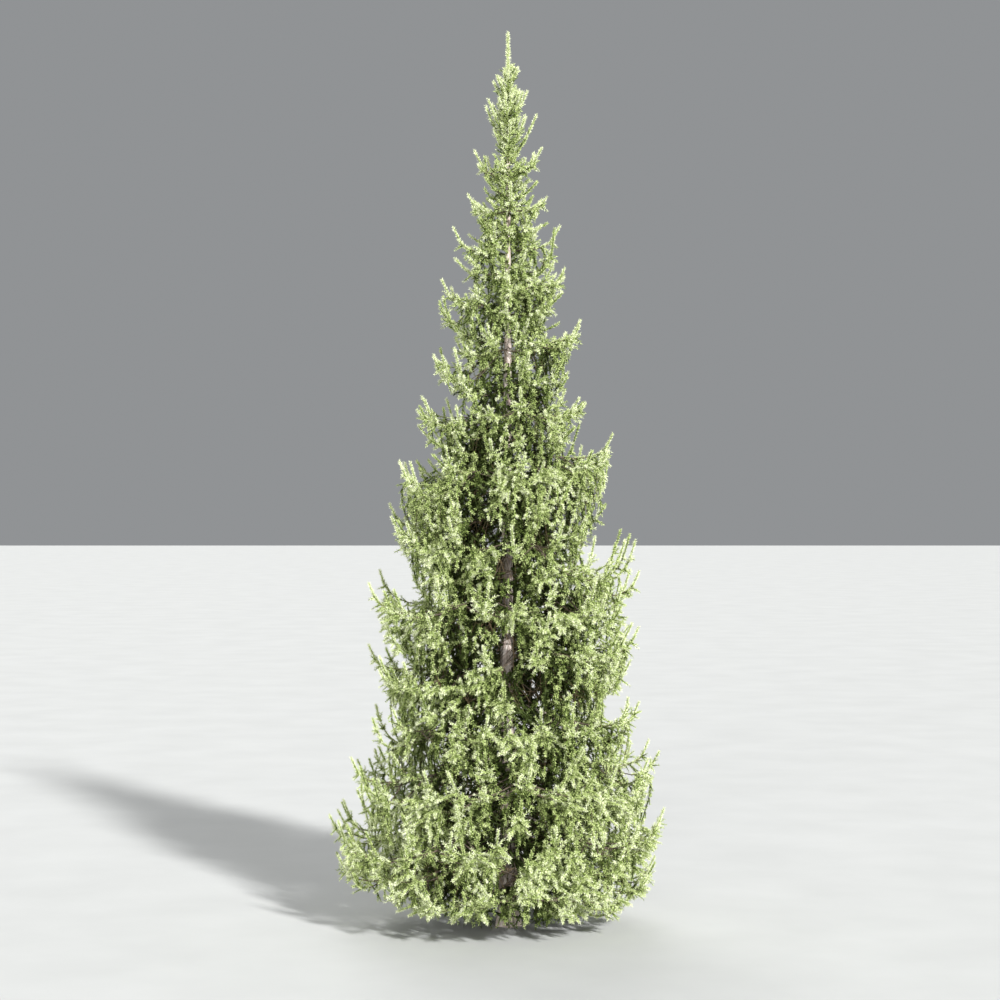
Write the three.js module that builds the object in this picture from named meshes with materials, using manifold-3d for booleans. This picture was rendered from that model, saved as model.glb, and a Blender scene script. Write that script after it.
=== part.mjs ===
// A young Norway spruce, rooted in level ground: a whole trunk, the lower boughs, and masses of
// weeping foliage round the trunk, in millimetres, +Z up, with the origin in the flat cut at the
// ground. +X is the right of the tree and -Y its front.
import * as THREE from "three";
import { mergeVertices } from "three/addons/utils/BufferGeometryUtils.js";
import Module from "manifold-3d";

const wasm = await Module();
wasm.setup();

// ---- Driving dimensions ----

const TREE_HEIGHT = 12000;
const TRUNK_TOP = 10300; // where the trunk's wood gives way to the needled leader
const TRUNK_TAPER = 0.01; // radius lost for each mm of height
const TRUNK_SWAY = 22; // how far the trunk wanders from plumb
const TRUNK_SIDES = 13;
const TRUNK_STEPS = 9;
const FLARE = { depth: 75, height: 240, lobes: 5, lobeShare: 0.4 };

// How far the bough tips reach, by their height above the ground: [height, left, right].
const CROWN_OUTLINE = [
  [0, 1900, 1750],
  [950, 2370, 2050],
  [1650, 2460, 2210],
  [2400, 2120, 2100],
  [3200, 1860, 1800],
  [4790, 1960, 1810],
  [5700, 1620, 1740],
  [6500, 1520, 1540],
  [7200, 1240, 1110],
  [8200, 1000, 1050],
  [8900, 960, 820],
  [9700, 640, 660],
  [10450, 470, 480],
  [11200, 250, 340],
  [12000, 0, 0],
];

// The whorls of boughs, from the ground up. left and right are the heights of the bough tips on
// those sides, turn is the first bough's azimuth in degrees, counted from +X towards +Y, and the
// masses of a whorl with limbs false grow straight from the trunk.
const WHORLS = [
  { left: 1000, right: 900, count: 4, turn: 12, limbs: true },
  { left: 1620, right: 1690, count: 4, turn: 56, limbs: true },
  { left: 2320, right: 2450, count: 4, turn: 10, limbs: true },
  { left: 3080, right: 3120, count: 3, turn: 335, limbs: true },
  { left: 3780, right: 4150, count: 3, turn: 180, limbs: false },
  { left: 4790, right: 4750, count: 3, turn: 235, limbs: false },
  { left: 5650, right: 5300, count: 3, turn: 170, limbs: false },
  { left: 6380, right: 6600, count: 3, turn: 235, limbs: false },
  { left: 7120, right: 7200, count: 3, turn: 165, limbs: false },
  { left: 7890, right: 8200, count: 3, turn: 15, limbs: false },
  { left: 8700, right: 8930, count: 3, turn: 75, limbs: false },
  { left: 9400, right: 9430, count: 2, turn: 190, limbs: false },
  { left: 9900, right: 9980, count: 2, turn: 95, limbs: false },
  { left: 10430, right: 10480, count: 2, turn: 10, limbs: false },
];

const BOUGH = {
  fold: 1.41, // how much of a quarter turn the bough's run outwards follows, in radians
  sag: 0.09, // share of the reach
  upturn: 0.16, // share of the reach that the tip rises by
  topLift: 1.7, // slope of the boughs at the very top, fading downwards
  liftFade: 7,
  droop: 0.22, // slope down of the lowest boughs
  bareShare: 0.24, // share of a bough that carries no foliage
  slimness: 0.0088, // radius at the trunk for each mm of reach
  leastRadius: 11,
  sides: 4,
  waviness: 0.05, // how far the tips of a whorl rise and fall round the trunk, by its reach
  unevenness: 0.028, // how far a tip may be above or below its whorl's, by its reach
};
// Side limbs come in pairs: where they leave the stem, how far they spread, as a share of half the
// angle that their mass takes up, and how far out they end. Short boughs have the first two pairs.
const SIDE_LIMBS = [
  { from: 0.3, spread: 0.76, out: 0.97 },
  { from: 0.5, spread: 0.37, out: 0.97 },
  { from: 0.22, spread: 0.6, out: 0.62 },
];
const TUCK = 0.22; // how far the foot of a whorl's sprays draws in for each mm under its tips
const SHORT_BOUGH = 1750;
// The sprays that hang from a limb by turns on its left and right: their most and least length,
// and how many there are on a stem, a side limb and a short limb.
const SPRAY = { most: 1000, least: 620, onStem: 8, onSide: 6, onShort: 4, notch: 0.15 };
const BRUSH = { radius: 32, from: 0.84 }; // the shoot at the end of each limb
const SHRINKS = [1, 0.88, 0.76, 0.64, 0.52, 0.4, 0.28]; // what doesn't fit is tried again at these sizes
const RIM = 0.86; // a whorl's surface is as high as its tips from this share of the reach outwards
const CLEARANCE = 0.3; // gap between a limb and what it meets
const SPACE_MARGIN = 14; // gap that each mass keeps to its neighbours' space
const LIMB_MARGIN = 12; // gap that sprays keep to the bare limbs
const SLIVER = 0.1; // edges shorter than this, left by the cuts, are closed up
// The foot of the crown curves up outwards: its height at the trunk, and the rise at a radius.
const CROWN_FOOT = { height: 60, rise: 400, radius: 2100 };
const CHANCE_STEPS = [12.9898, 78.233, 37.719, 93.989];

// ---- Small helpers ----

const radians = THREE.MathUtils.degToRad;
const smooth = THREE.MathUtils.smoothstep;
const up = new THREE.Vector3(0, 0, 1);

// A repeatable number from 0 to 1 for some whole-number keys.
function chance(...keys) {
  const mixed = keys.reduce((sum, key, i) => sum + (key + 1) * CHANCE_STEPS[i], 0);
  const wave = Math.sin(mixed) * 43758.5453;
  return wave - Math.floor(wave);
}

// The same, from -1 to 1.
const either = (...keys) => 2 * chance(...keys) - 1;

// [left, right] of the crown's outline at a height.
function outlineAt(height) {
  const above = CROWN_OUTLINE.findIndex(([z]) => z >= height);
  const [z1, left1, right1] = CROWN_OUTLINE[Math.max(above, 1)];
  const [z0, left0, right0] = CROWN_OUTLINE[Math.max(above, 1) - 1];
  const share = (height - z0) / (z1 - z0);
  return [left0 + (left1 - left0) * share, right0 + (right1 - right0) * share];
}

// A value that is left at azimuth 180 degrees, right at 0, and their mean in front and behind.
const roundTrunk = (left, right, azimuth) => (left + right) / 2 + ((right - left) / 2) * Math.cos(azimuth);

function crownReach(height, azimuth) {
  const [left, right] = outlineAt(height);
  return roundTrunk(left, right, azimuth);
}

// ---- Solids ----

// A closed mesh from rings of points, capped at both ends.
function loft(rings) {
  const sides = rings[0].length;
  const points = rings.flat();
  const faces = [];
  for (let r = 0; r + 1 < rings.length; r++) {
    for (let i = 0; i < sides; i++) {
      const a = r * sides + i;
      const b = r * sides + ((i + 1) % sides);
      faces.push(a, b, b + sides, a, b + sides, a + sides);
    }
  }
  const last = (rings.length - 1) * sides;
  for (let i = 1; i + 1 < sides; i++) {
    faces.push(0, i + 1, i, last, last + i, last + i + 1);
  }
  return closedGeometry(points, faces);
}

function closedGeometry(points, faces) {
  const geometry = new THREE.BufferGeometry().setFromPoints(points);
  geometry.setIndex(faces);
  return geometry;
}

// A three.js geometry as a solid for the booleans.
function toSolid(geometry) {
  const merged = mergeVertices(geometry, 1e-3);
  const mesh = new wasm.Mesh({
    numProp: 3,
    vertProperties: new Float32Array(merged.getAttribute("position").array),
    triVerts: new Uint32Array(merged.index.array),
  });
  return new wasm.Manifold(mesh);
}

function toGeometry(solid) {
  const mesh = solid.simplify(SLIVER).getMesh();
  const geometry = new THREE.BufferGeometry();
  geometry.setAttribute("position", new THREE.BufferAttribute(mesh.vertProperties, 3));
  geometry.setIndex(new THREE.BufferAttribute(mesh.triVerts, 1));
  const flat = geometry.toNonIndexed();
  flat.computeVertexNormals();
  return flat;
}

// A ring of points square to a path at a share of it, from `turn` radians over its left side.
function ringAt(path, share, radius, sides, turn) {
  const centre = path(share);
  const ahead = directionAt(path, share);
  const across = new THREE.Vector3().crossVectors(up, ahead).normalize();
  const over = new THREE.Vector3().crossVectors(ahead, across);
  return Array.from({ length: sides }, (_, i) => {
    const angle = turn + (2 * Math.PI * i) / sides;
    const spoke = across.clone().multiplyScalar(Math.cos(angle)).addScaledVector(over, Math.sin(angle));
    return centre.clone().addScaledVector(spoke, radius);
  });
}

// A tapering limb along a path, a function of 0 to 1 that gives points.
function limb(path, radiusAt, sides, steps) {
  const shares = Array.from({ length: steps + 1 }, (_, step) => step / steps);
  return loft(shares.map((share) => ringAt(path, share, radiusAt(share), sides, 0)));
}

function directionAt(path, share) {
  const step = 0.004;
  const from = path(Math.max(share - step, 0));
  const ahead = path(Math.min(share + step, 1)).sub(from).normalize();
  if (Math.abs(ahead.z) > 0.9995) ahead.add(new THREE.Vector3(0.03, 0.01, 0)).normalize();
  return ahead;
}

// ---- The trunk ----

function trunkCentre(height) {
  const share = height / TREE_HEIGHT;
  return new THREE.Vector3(
    -TRUNK_SWAY * Math.sin(Math.PI * share) * Math.cos(2.2 * share),
    TRUNK_SWAY * Math.sin(2.6 * Math.PI * share) * share,
    height,
  );
}

const trunkRadius = (height) => 6 + (TREE_HEIGHT - height) * TRUNK_TAPER;

function trunkRing(height, grow) {
  const flare = FLARE.depth * Math.exp(-height / FLARE.height);
  const centre = trunkCentre(height);
  const ring = [];
  for (let i = 0; i < TRUNK_SIDES; i++) {
    const angle = (2 * Math.PI * i) / TRUNK_SIDES;
    const lobe = 1 - FLARE.lobeShare + FLARE.lobeShare * Math.cos(FLARE.lobes * angle + 0.7);
    const radius = trunkRadius(height) + flare * lobe + grow;
    ring.push(new THREE.Vector3(radius * Math.cos(angle), radius * Math.sin(angle), 0).add(centre));
  }
  return ring;
}

// The trunk, or the same grown a little, to cut what meets it.
function trunkGeometry(grow = 0) {
  const rings = [];
  for (let step = 0; step <= TRUNK_STEPS; step++) {
    rings.push(trunkRing(TRUNK_TOP * (step / TRUNK_STEPS) ** 1.6, grow));
  }
  return loft(rings);
}

// ---- Boughs and their line ----

// A bough's facts, from the height of its tip and its azimuth.
function boughLine(tip, azimuth, reach, sweep) {
  const down = (TREE_HEIGHT - tip) / TREE_HEIGHT;
  const lift = BOUGH.topLift * Math.exp(-BOUGH.liftFade * down) - BOUGH.droop * down;
  return { tip, azimuth, reach, sweep, lift, down, foot: tip - reach * (lift + BOUGH.upturn) };
}

// How far a bough has risen at share u, as a share of its reach; turned is how far its tip turns up.
function boughRise(line, u, turned) {
  return line.lift * u - BOUGH.sag * Math.sin(Math.PI * u) + BOUGH.upturn * turned ** 6;
}

// The point at share u of a bough, from the middle of the trunk, 0, to its upturned tip, 1.
function boughPoint(line, u) {
  const out = (line.reach * Math.sin(BOUGH.fold * u)) / Math.sin(BOUGH.fold);
  const rise = boughRise(line, u, u);
  const angle = line.azimuth + line.sweep * u * u;
  const centre = trunkCentre(line.foot);
  return new THREE.Vector3(
    centre.x + out * Math.cos(angle),
    centre.y + out * Math.sin(angle),
    line.foot + rise * line.reach,
  );
}

// The height of a whorl's tips at an azimuth.
function whorlTip(whorl, azimuth) {
  const plain = roundTrunk(whorl.left, whorl.right, azimuth);
  const wave = Math.sin(2 * azimuth) ** 2 * Math.sin(3 * azimuth);
  return plain + BOUGH.waviness * crownReach(plain, azimuth) * wave;
}

// Every bough's line, whorl by whorl.
function allLines() {
  const lines = [];
  WHORLS.forEach((whorl, w) => {
    for (let b = 0; b < whorl.count; b++) {
      const azimuth = radians(whorl.turn + (360 * b) / whorl.count + 5 * either(w, b, 1));
      const full = crownReach(whorlTip(whorl, azimuth), azimuth);
      const tip = whorlTip(whorl, azimuth) + BOUGH.unevenness * full * either(w, b, 2);
      const reach = full * (1 - 0.04 * chance(w, b, 3));
      const line = boughLine(tip, azimuth, reach, 0.06 * either(w, b, 4));
      const name = `${w + 1}${"abcd"[b]}`;
      lines.push({ ...line, key: lines.length, name, whorl, level: w, halfTurn: Math.PI / whorl.count });
    }
  });
  return lines;
}

const boughRadius = (line) => Math.max(BOUGH.slimness * line.reach, BOUGH.leastRadius);
const taperAt = (line, u) => boughRadius(line) * (1 - 0.68 * u);

// The limbs of a mass: its stem, then the side limbs, each with a path from its start to its tip.
function limbsOf(line) {
  const start = line.whorl.limbs ? BOUGH.bareShare + CLEARANCE / line.reach : 0;
  const isLong = line.reach > SHORT_BOUGH;
  const stem = {
    path: (v) => boughPoint(line, start + (1 - start) * v),
    radiusAt: (v) => taperAt(line, start + (1 - start) * v),
    sprays: isLong ? SPRAY.onStem : SPRAY.onSide,
    line,
    index: 0,
  };
  const pairs = isLong ? SIDE_LIMBS : SIDE_LIMBS.slice(0, 2);
  const sides = pairs.flatMap((pair, i) => {
    return [sideLimb(line, pair, 2 * i + 1, -1), sideLimb(line, pair, 2 * i + 2, 1)];
  });
  return [stem, ...sides];
}

function sideLimb(line, pair, index, hand) {
  const from = pair.from + (line.whorl.limbs ? 0.06 : -0.08) + 0.03 * hand;
  const spread = hand * line.halfTurn * pair.spread * (1 + 0.1 * either(line.key, index, 5));
  const azimuth = line.azimuth + spread;
  const full = crownReach(whorlTip(line.whorl, azimuth), azimuth);
  const reach = full * (pair.out + 0.03 * either(line.key, index, 7));
  const under = BOUGH.unevenness * full * (0.8 + 1.6 * chance(line.key, index, 6));
  const tip = whorlSurface(line.whorl, azimuth, reach) - under;
  const own = boughLine(tip, azimuth, reach, 0);
  return {
    path: (v) => sidePoint(line, own, from, v),
    radiusAt: (v) => taperAt(line, from) * (0.75 - 0.45 * v),
    sprays: line.reach > 1000 && pair.out > 0.9 ? SPRAY.onSide : SPRAY.onShort,
    line,
    index,
  };
}

// A side limb's point: it starts on the stem and eases over to its own line.
function sidePoint(line, own, from, v) {
  const u = from + (1 - from) * v;
  const gap = boughPoint(line, from).sub(boughPoint(own, from));
  return boughPoint(own, u).addScaledVector(gap, (1 - v) ** 2);
}

// ---- Whose space is a point in ----

const lines = allLines();
const masses = lines.map(limbsOf);

// The height of the surface that a whorl's boughs lie in, at an azimuth and a distance from the
// trunk. Each mass's space is under its own whorl's surface and above the next whorl's.
function whorlSurface(whorl, azimuth, out) {
  const tip = whorlTip(whorl, azimuth);
  const reach = crownReach(tip, azimuth);
  const share = Math.min(out / reach, 1);
  const u = Math.asin(share * Math.sin(BOUGH.fold)) / BOUGH.fold;
  const line = boughLine(tip, azimuth, reach, 0);
  const rise = boughRise(line, u, Math.min(u / RIM, 1)) + 1.6 * BOUGH.unevenness;
  return line.foot + rise * reach;
}

const turnBetween = (a, b) => Math.abs(Math.atan2(Math.sin(a - b), Math.cos(a - b)));

function inOwnSpace(p, line) {
  const azimuth = Math.atan2(p.y, p.x);
  const out = Math.hypot(p.x, p.y);
  const below = WHORLS[line.level - 1];
  if (below && p.z < whorlSurface(below, azimuth, out) + 2 * SPACE_MARGIN) return false;
  if (p.z > whorlSurface(line.whorl, azimuth, out) + SPACE_MARGIN) return false;
  const tip = whorlTip(line.whorl, azimuth);
  if (out > crownReach(tip, azimuth) + SPACE_MARGIN - TUCK * Math.max(tip - p.z, 0)) return false;
  const own = turnBetween(azimuth, line.azimuth) * out + SPACE_MARGIN;
  const others = lines.filter((other) => other.level === line.level && other !== line);
  return others.every((other) => turnBetween(azimuth, other.azimuth) * out > own);
}

function distanceTo(points, p) {
  const spot = new THREE.Vector3();
  const piece = new THREE.Line3();
  let least = Infinity;
  for (let i = 0; i + 1 < points.length; i++) {
    piece.set(points[i], points[i + 1]).closestPointToPoint(p, true, spot);
    least = Math.min(least, spot.distanceTo(p));
  }
  return least;
}

// The bare limbs that foliage stays clear of, as the points and radii along them.
const limbPoints = lines
  .filter((line) => line.whorl.limbs)
  .map((line) => ({
    points: Array.from({ length: 7 }, (_, i) => boughPoint(line, (BOUGH.bareShare * i) / 6)),
    radius: boughRadius(line),
  }));

function clearOfLimbs(p) {
  const height = Math.min(Math.max(p.z, 0), TRUNK_TOP);
  const fromTrunk = Math.hypot(p.x - trunkCentre(height).x, p.y - trunkCentre(height).y);
  const flare = FLARE.depth * Math.exp(-height / FLARE.height);
  if (p.z < TRUNK_TOP + LIMB_MARGIN && fromTrunk < trunkRadius(height) + flare + LIMB_MARGIN) return false;
  return limbPoints.every(({ points, radius }) => distanceTo(points, p) > radius + LIMB_MARGIN);
}

const crownFoot = (out) => CROWN_FOOT.height + CROWN_FOOT.rise * (out / CROWN_FOOT.radius) ** 3;

const fits = (p, line) => p.z > crownFoot(Math.hypot(p.x, p.y)) && inOwnSpace(p, line) && clearOfLimbs(p);

// ---- Limbs with their sprays ----

// How long sprays are along a limb, from 0 to 1.
const sprayProfile = (v) => 0.6 + 0.4 * smooth(v, 0.1, 0.45) - 0.3 * smooth(v, 0.65, 1);

// How much foliage hangs, from 0 to 1, by its mass's place and its height above the ground.
const weepAt = (line, height) => smooth(line.down, 0.03, 0.22) * (0.72 + 0.28 * smooth(height, 300, 1500));

// The way that a spray hangs from a limb, to its left for hand 1 and to its right for -1.
function sprayWay(line, root, run, hand, keys) {
  return run
    .clone()
    .multiplyScalar(0.14 + 0.25 * either(...keys, 12))
    .addScaledVector(leftOf(run), hand * (0.22 + 0.34 * chance(...keys, 13)))
    .addScaledVector(up, 0.6 - 1.6 * weepAt(line, root.z))
    .normalize();
}

// A spray's tip, drawn in until the spray fits its mass's space, or nothing if it never does.
function sprayTip(root, way, length, line) {
  const tipAt = (share) => root.clone().addScaledVector(way, length * share);
  const allFits = (shrink) => [0.3, 0.55, 0.8, 1].every((share) => fits(tipAt(shrink * share), line));
  const size = SHRINKS.find(allFits);
  return size && tipAt(size);
}

// A limb with its sprays as one solid. Each ring has a left wing, a top and a right wing; the wings
// are sprays by turns and stay near the wood between them.
function needledLimb({ path, radiusAt, sprays, line, index }) {
  const start = sideTopSide(path, 0, radiusAt(0));
  const rings = sprayShares(sprays, index ? 0.22 : line.whorl.limbs ? 0.02 : 0.1)
    .map((v, i) => sprayRing(path, v, radiusAt(v), line, [line.key, index, i + 1]))
    .filter((ring) => ring);
  return spike([start, ...rings, sideTopSide(path, BRUSH.from, BRUSH.radius)], path(1));
}

// Where along a limb its sprays hang.
function sprayShares(count, bare) {
  return Array.from({ length: count }, (_, i) => bare + ((BRUSH.from - bare) * (i + 0.5)) / count);
}

// The ring at a spray, or nothing if the spray doesn't fit.
function sprayRing(path, v, radius, line, keys) {
  const size = SPRAY.least + (SPRAY.most - SPRAY.least) * smooth(line.down, 0.05, 0.36);
  const length = size * sprayProfile(v) * (0.72 + 0.4 * chance(...keys));
  const centre = path(v);
  const run = directionAt(path, v).setZ(0).normalize();
  const hand = keys[2] % 2 ? 1 : -1;
  const tip = sprayTip(centre, sprayWay(line, centre, run, hand, keys), length, line);
  if (!tip) return null;
  const near = centre
    .clone()
    .addScaledVector(leftOf(run), -hand * radius)
    .addScaledVector(sprayWay(line, centre, run, -hand, keys), Math.max(length * SPRAY.notch, radius));
  const top = centre.clone().addScaledVector(up, radius);
  return hand > 0 ? [tip, top, near] : [near, top, tip];
}

// A ring square to a path, with a point on its left, its top and its right.
const sideTopSide = (path, v, radius) => ringAt(path, v, radius, 3, -Math.PI / 6);

const leftOf = (run) => new THREE.Vector3(-run.y, run.x, 0);

// Rings of points lofted, flat at the first, to a point past the last. Each four corners are split
// along their shorter diagonal.
function spike(rings, tip) {
  const sides = rings[0].length;
  const points = [...rings.flat(), tip];
  const faces = [];
  for (let r = 0; r < rings.length; r++) {
    for (let i = 0; i < sides; i++) {
      const a = r * sides + i;
      const b = r * sides + ((i + 1) % sides);
      const [c, d] = [b + sides, a + sides];
      const isLast = r + 1 === rings.length;
      if (isLast) faces.push(a, b, points.length - 1);
      else faces.push(...quad(points, [a, b, c, d]));
    }
  }
  for (let i = 1; i + 1 < sides; i++) faces.push(0, i + 1, i);
  return closedGeometry(points, faces);
}

function quad(points, [a, b, c, d]) {
  const acIsShorter = points[a].distanceTo(points[c]) < points[b].distanceTo(points[d]);
  return acIsShorter ? [a, b, c, a, c, d] : [a, b, d, b, c, d];
}

// ---- Masses ----

const largest = (solid) => solid.decompose().reduce((a, b) => (a.volume() > b.volume() ? a : b));

// Fuses solids into one and drops any scrap that stands apart.
const fuse = (solids) => largest(solids.reduce((all, next) => all.add(next)));

const limbFits = ({ path, line }) => [0.35, 0.5, 0.65, 0.8, 1].every((v) => fits(path(v), line));

function massSolid([stem, ...sides]) {
  const solids = [stem, ...sides.filter(limbFits)].map((limbHere) => toSolid(needledLimb(limbHere)));
  const mass = fuse(solids);
  return stem.line.whorl.limbs ? mass : largest(mass.subtract(trunkCutter));
}

// The needled leader: a stem that goes on from the trunk, with steep shoots round it.
const LEADER_SHOOTS = {
  count: 16,
  longest: 700,
  shortest: 200,
  reachUp: 0.62, // share of the stem that the shoots leave from
  out: 0.55, // how far a shoot goes out and up, as shares of its length
  up: 0.9,
  radius: 42,
  rootRadius: 8,
  endRadius: 34,
  spread: 0.18, // how far its sprays stand out and lean ahead, as shares of its length
  forward: 0.22,
};
const LEADER_TIP_LENGTH = 500;
const GOLDEN_TURN = 137.5;

const leaderPoint = (v) => trunkCentre(TRUNK_TOP + (TREE_HEIGHT - TRUNK_TOP) * v);

function leaderSolid() {
  const start = CLEARANCE / (TREE_HEIGHT - TRUNK_TOP);
  const stem = (v) => leaderPoint(start + (1 - start) * v);
  const radiusAt = (v) => trunkRadius(TRUNK_TOP) * (1 - 0.75 * v);
  const shoots = Array.from({ length: LEADER_SHOOTS.count }, (_, i) => {
    const share = i / (LEADER_SHOOTS.count - 1);
    const root = stem(0.02 + LEADER_SHOOTS.reachUp * share);
    const length = THREE.MathUtils.lerp(LEADER_SHOOTS.longest, LEADER_SHOOTS.shortest, share);
    return leaderShoot(risingPath(root, i * radians(GOLDEN_TURN), length), length);
  });
  const wood = limb((v) => stem(v * 0.96), radiusAt, 6, 4);
  const tip = leaderShoot((v) => stem(0.6 + 0.4 * v), LEADER_TIP_LENGTH);
  return largest(fuse([wood, tip, ...shoots].map(toSolid)).subtract(trunkCutter));
}

// The path of a shoot that leaves a root at an azimuth and rises ever more steeply.
function risingPath(root, azimuth, length) {
  const away = new THREE.Vector3(Math.cos(azimuth), Math.sin(azimuth), 0);
  return (v) =>
    root
      .clone()
      .addScaledVector(away, LEADER_SHOOTS.out * length * v)
      .addScaledVector(up, (LEADER_SHOOTS.up * length * (v + v * v)) / 2);
}

// A shoot of the leader: a slim brush with one spray to each side.
function leaderShoot(path, length) {
  const middle = [0.3, 0.5].map((v, i) => {
    const [left, top, right] = sideTopSide(path, v, LEADER_SHOOTS.radius);
    const ahead = directionAt(path, v).multiplyScalar(length * LEADER_SHOOTS.forward);
    const wide = LEADER_SHOOTS.radius + length * LEADER_SHOOTS.spread;
    const spray = (side) => side.sub(path(v)).setLength(wide).add(path(v)).add(ahead);
    return i ? [left, top, spray(right)] : [spray(left), top, right];
  });
  const start = sideTopSide(path, 0, LEADER_SHOOTS.rootRadius);
  const end = sideTopSide(path, 0.75, LEADER_SHOOTS.endRadius);
  return spike([start, ...middle, end], path(1));
}

// ---- The tree ----

const barkMaterial = new THREE.MeshStandardMaterial({ color: "#8b7770", roughness: 0.95, metalness: 0 });
const foliageMaterial = new THREE.MeshStandardMaterial({ color: "#93a06d", roughness: 0.8, metalness: 0 });

const tree = new THREE.Group();

function addNode(name, geometry, material) {
  const mesh = new THREE.Mesh(geometry, material);
  mesh.name = name;
  tree.add(mesh);
}

const trunkCutter = toSolid(trunkGeometry(CLEARANCE));
addNode("trunk", toGeometry(toSolid(trunkGeometry())), barkMaterial);

lines.forEach((line, i) => {
  if (line.whorl.limbs) {
    const path = (v) => boughPoint(line, BOUGH.bareShare * v);
    const wood = toSolid(limb(path, (v) => taperAt(line, BOUGH.bareShare * v), BOUGH.sides, 3));
    addNode(`bough_${line.name}`, toGeometry(largest(wood.subtract(trunkCutter))), barkMaterial);
  }
  addNode(`foliage_${line.name}`, toGeometry(massSolid(masses[i])), foliageMaterial);
});
addNode("foliage_leader", toGeometry(leaderSolid()), foliageMaterial);

export default tree;
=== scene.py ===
"""A young Norway spruce on a pale studio floor. The boughs and side limbs follow the rules of the CAD
source, in metres here, and are carried on to hanging branchlets and needled shoots. A size that
isn't the source's says so."""

from collections import namedtuple
from math import asin, atan2, cos, exp, hypot, pi, radians, sin

import bpy
import numpy as np
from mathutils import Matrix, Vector, noise


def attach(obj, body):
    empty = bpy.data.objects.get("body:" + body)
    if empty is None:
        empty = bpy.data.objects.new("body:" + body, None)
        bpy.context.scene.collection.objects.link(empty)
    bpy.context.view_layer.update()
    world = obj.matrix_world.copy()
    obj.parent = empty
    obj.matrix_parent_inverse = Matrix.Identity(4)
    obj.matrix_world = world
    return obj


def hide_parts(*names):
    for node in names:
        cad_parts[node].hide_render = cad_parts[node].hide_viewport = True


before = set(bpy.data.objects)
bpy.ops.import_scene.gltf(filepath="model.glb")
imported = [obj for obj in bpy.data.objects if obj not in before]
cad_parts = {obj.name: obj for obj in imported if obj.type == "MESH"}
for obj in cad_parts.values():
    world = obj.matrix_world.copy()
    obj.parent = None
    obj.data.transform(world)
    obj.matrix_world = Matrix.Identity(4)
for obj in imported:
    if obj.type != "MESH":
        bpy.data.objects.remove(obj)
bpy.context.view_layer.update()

# ---- Sizes shared with the source, in metres ----

TREE_HEIGHT = 12.0
TRUNK_TOP = 10.3  # where the trunk's wood gives way to the needled leader
TRUNK_TAPER = 0.01  # radius lost for each metre of height
TRUNK_SWAY = 0.022  # how far the trunk wanders from plumb
SWAY_SIDE_BEND = 2.2  # radians of the wave it follows to the sides, and to the front and back
SWAY_FRONT_BEND = 2.6 * pi
TRUNK_TIP_RADIUS = 0.006
FLARE_DEPTH = 0.075
FLARE_HEIGHT = 0.24
FLARE_LOBES = 5
FLARE_LOBE_SHARE = 0.4
FLARE_TURN = 0.7  # phase of the lobes' wave, in radians

# How far the bough tips reach, by their height above the ground: (height, left, right).
CROWN_OUTLINE = [
    (0.0, 1.9, 1.75),
    (0.95, 2.37, 2.05),
    (1.65, 2.46, 2.21),
    (2.4, 2.12, 2.1),
    (3.2, 1.86, 1.8),
    (4.79, 1.96, 1.81),
    (5.7, 1.62, 1.74),
    (6.5, 1.52, 1.54),
    (7.2, 1.24, 1.11),
    (8.2, 1.0, 1.05),
    (8.9, 0.96, 0.82),
    (9.7, 0.64, 0.66),
    (10.45, 0.47, 0.48),
    (11.2, 0.25, 0.34),
    (12.0, 0.0, 0.0),
]

# The whorls of boughs from the ground up: the heights of the tips on the left and right, the number
# of boughs and the first one's azimuth in degrees.
WHORLS = [
    (1.0, 0.9, 4, 12),
    (1.62, 1.69, 4, 56),
    (2.32, 2.45, 4, 10),
    (3.08, 3.12, 3, 335),
    (3.78, 4.15, 3, 180),
    (4.79, 4.75, 3, 235),
    (5.65, 5.3, 3, 170),
    (6.38, 6.6, 3, 235),
    (7.12, 7.2, 3, 165),
    (7.89, 8.2, 3, 15),
    (8.7, 8.93, 3, 75),
    (9.4, 9.43, 2, 190),
    (9.9, 9.98, 2, 95),
    (10.43, 10.48, 2, 10),
]
BARE_WHORLS = 4  # the lowest ones, whose boughs are bare near the trunk

FOLD = 1.41  # how much of a quarter turn a bough's run outwards follows, in radians
SAG = 0.09  # share of a bough's reach
UPTURN = 0.16  # share of the reach that the tip rises by
UPTURN_POWER = 6  # how near to its tip it turns up
TOP_LIFT = 1.7  # slope of the boughs at the very top, fading downwards
LIFT_FADE = 7
DROOP = 0.22  # slope down of the lowest boughs
BARE_SHARE = 0.24  # share of a low bough that carries no foliage
SLIMNESS = 0.0088  # radius at the trunk for each metre of reach
BOUGH_TAPER = 0.68  # share of that radius that is lost by the tip
LEAST_BOUGH_RADIUS = 0.011
WAVINESS = 0.05  # how far the tips of a whorl rise and fall round the trunk, by its reach
UNEVENNESS = 0.028  # how far a tip may be above or below its whorl's, by its reach
TURN_CHANCE = 5  # degrees that a bough may be off its place
REACH_CHANCE = 0.04  # share that it may fall short by
SWEEP_CHANCE = 0.06  # radians that it may bend to a side
RIM = 0.86  # a whorl's surface is as high as its tips from this share of the reach outwards
SURFACE_RISE = 1.6 * UNEVENNESS  # how far it is above its boughs, by their reach
TUCK = 0.22  # how far a whorl's limbs draw in for each metre under its tips
SHORT_BOUGH = 1.2  # boughs shorter than this have fewer side limbs (1.75 in the source)
SPACE_MARGIN = 0.014  # gap that each whorl keeps to its neighbours' space
LIMB_MARGIN = 0.012  # gap that foliage keeps to the trunk
CROWN_FOOT = (0.06, 0.58, 2.1)  # height at the trunk, and the rise at a radius (0.4 in the source)
CHANCE_STEPS = (12.9898, 78.233, 37.719, 93.989)
CHANCE_SCALE = 43758.5453
SPRAY_MOST = 1.2  # length of branchlets low in the crown (1.0 in the source), and at the top
SPRAY_LEAST = 0.62
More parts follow.
